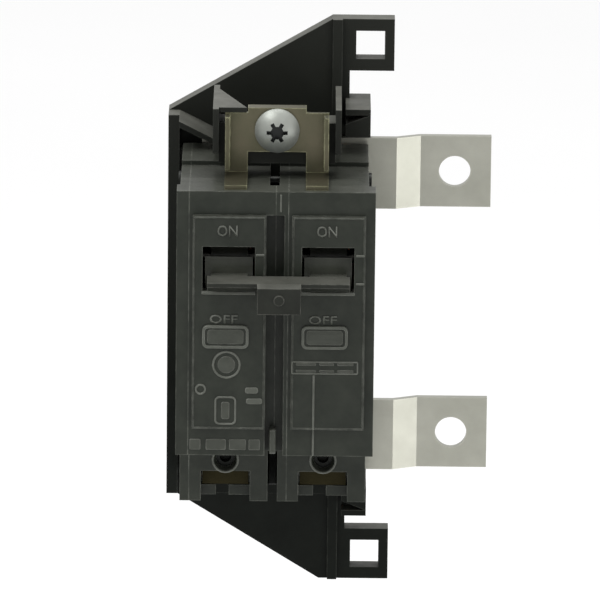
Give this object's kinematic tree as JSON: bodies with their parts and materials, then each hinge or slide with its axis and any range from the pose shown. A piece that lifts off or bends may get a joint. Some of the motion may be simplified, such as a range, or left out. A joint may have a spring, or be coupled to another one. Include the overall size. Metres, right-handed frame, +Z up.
{
  "type": "two-pole main circuit breaker",
  "caption": "Bolt-on main circuit breaker with tied handles and load lugs, held by a bracket and screw on a moulded carrier with bus straps.",
  "frame": {"origin": "centre of the carrier's flat back, between the two ears", "axes": "+X to the bus straps, +Z up with the handles' ON end on top, the face looks along -Y"},
  "size_m": [0.0845, 0.0726, 0.1524],
  "materials": {
    "carrier_plastic": "satin black moulded nylon",
    "case_plastic": "semi-gloss charcoal phenolic",
    "handle_plastic": "semi-gloss charcoal moulding",
    "chromated_steel": "yellow-chromated zinc, satin",
    "zinc_steel": "bright zinc plate",
    "plain_steel": "plain steel",
    "tin_plate": "bright tin-plated copper",
    "bare_copper": "bare copper",
    "contact_alloy": "silver alloy contact",
    "vulcanised_fibre": "red-brown vulcanised fibre",
    "lug_aluminium": "extruded aluminium, tin flash"
  },
  "bodies": {
    "root": {"carrier": "carrier_plastic", "hold_down_bracket": "chromated_steel", "hold_down_nut": "plain_steel", "upper_bus_strap": "tin_plate", "lower_bus_strap": "tin_plate", "line_bolts": "zinc_steel", "case_rivets": "plain_steel", "left_pole_base": "case_plastic", "left_pole_cover": "case_plastic", "left_handle_pin": "plain_steel", "left_cradle_pin": "plain_steel", "left_line_terminal": "bare_copper", "left_fixed_contact": "contact_alloy", "left_arc_plates": "plain_steel", "left_arc_frame": "vulcanised_fibre", "left_toggle_spring": "plain_steel", "left_magnet_yoke": "plain_steel", "left_bimetal": "bare_copper", "left_braid": "bare_copper", "left_load_terminal": "bare_copper", "left_lug": "lug_aluminium", "right_pole_base": "case_plastic", "right_pole_cover": "case_plastic", "right_handle_pin": "plain_steel", "right_cradle_pin": "plain_steel", "right_line_terminal": "bare_copper", "right_fixed_contact": "contact_alloy", "right_arc_plates": "plain_steel", "right_arc_frame": "vulcanised_fibre", "right_toggle_spring": "plain_steel", "right_magnet_yoke": "plain_steel", "right_bimetal": "bare_copper", "right_braid": "bare_copper", "right_load_terminal": "bare_copper", "right_lug": "lug_aluminium"},
    "handles": {"left_handle": "handle_plastic", "right_handle": "handle_plastic", "handle_tie": "handle_plastic"},
    "left_blade": {"left_contact_arm": "bare_copper", "left_moving_contact": "contact_alloy"},
    "right_blade": {"right_contact_arm": "bare_copper", "right_moving_contact": "contact_alloy"},
    "trip_bar": {"trip_bar": "handle_plastic"},
    "left_cradle": {"left_cradle": "plain_steel"},
    "right_cradle": {"right_cradle": "plain_steel"},
    "left_armature": {"left_armature": "plain_steel"},
    "right_armature": {"right_armature": "plain_steel"},
    "hold_down_screw": {"hold_down_screw": "zinc_steel"},
    "left_lug_screw": {"left_lug_screw": "zinc_steel"},
    "right_lug_screw": {"right_lug_screw": "zinc_steel"}
  },
  "joints": [
    {"name": "handles", "type": "hinge", "parent": "root", "child": "handles", "pos_m": [0, -0.044, 0.0223], "axis": [-1, 0, 0], "range_deg": [-4, 26]},
    {"name": "left_blade", "type": "hinge", "parent": "handles", "child": "left_blade", "pos_m": [-0.0127, -0.042, 0.0283], "axis": [-1, 0, 0], "range_deg": [-14.6, 2.3], "deforming": ["left_toggle_spring"]},
    {"name": "right_blade", "type": "hinge", "parent": "handles", "child": "right_blade", "pos_m": [0.0127, -0.042, 0.0283], "axis": [-1, 0, 0], "range_deg": [-14.6, 2.3], "deforming": ["right_toggle_spring"]},
    {"name": "trip_bar", "type": "hinge", "parent": "root", "child": "trip_bar", "pos_m": [0, -0.05, 0.006], "axis": [-1, 0, 0], "range_deg": [0, 12], "stiffness_Nm_per_rad": 0.01},
    {"name": "left_cradle", "type": "hinge", "parent": "root", "child": "left_cradle", "pos_m": [-0.0127, -0.022, -0.002], "axis": [-1, 0, 0], "range_deg": [0, 18.1]},
    {"name": "left_armature", "type": "hinge", "parent": "root", "child": "left_armature", "pos_m": [-0.0127, -0.0455, -0.0205], "axis": [1, 0, 0], "range_deg": [0, 5.6]},
    {"name": "right_cradle", "type": "hinge", "parent": "root", "child": "right_cradle", "pos_m": [0.0127, -0.022, -0.002], "axis": [-1, 0, 0], "range_deg": [0, 18.1]},
    {"name": "right_armature", "type": "hinge", "parent": "root", "child": "right_armature", "pos_m": [0.0127, -0.0455, -0.0205], "axis": [1, 0, 0], "range_deg": [0, 5.6]},
    {"name": "hold_down_screw", "type": "hinge", "parent": "root", "child": "hold_down_screw", "pos_m": [0, -0.045, 0.0553], "axis": [0, -1, 0], "continuous": true},
    {"name": "left_lug_screw", "type": "slide", "parent": "root", "child": "left_lug_screw", "axis": [0, 1, 0], "range_m": [0, 0.0055]},
    {"name": "right_lug_screw", "type": "slide", "parent": "root", "child": "right_lug_screw", "axis": [0, 1, 0], "range_m": [0, 0.0055]}
  ],
  "couplings": [
    {"joint": "left_blade", "follows": "handles", "ratio": -0.5588},
    {"joint": "left_cradle", "follows": "trip_bar", "ratio": 1.5},
    {"joint": "left_armature", "follows": "trip_bar", "ratio": 0.4583},
    {"joint": "right_blade", "follows": "handles", "ratio": -0.5588},
    {"joint": "right_cradle", "follows": "trip_bar", "ratio": 1.5},
    {"joint": "right_armature", "follows": "trip_bar", "ratio": 0.4583}
  ]
}
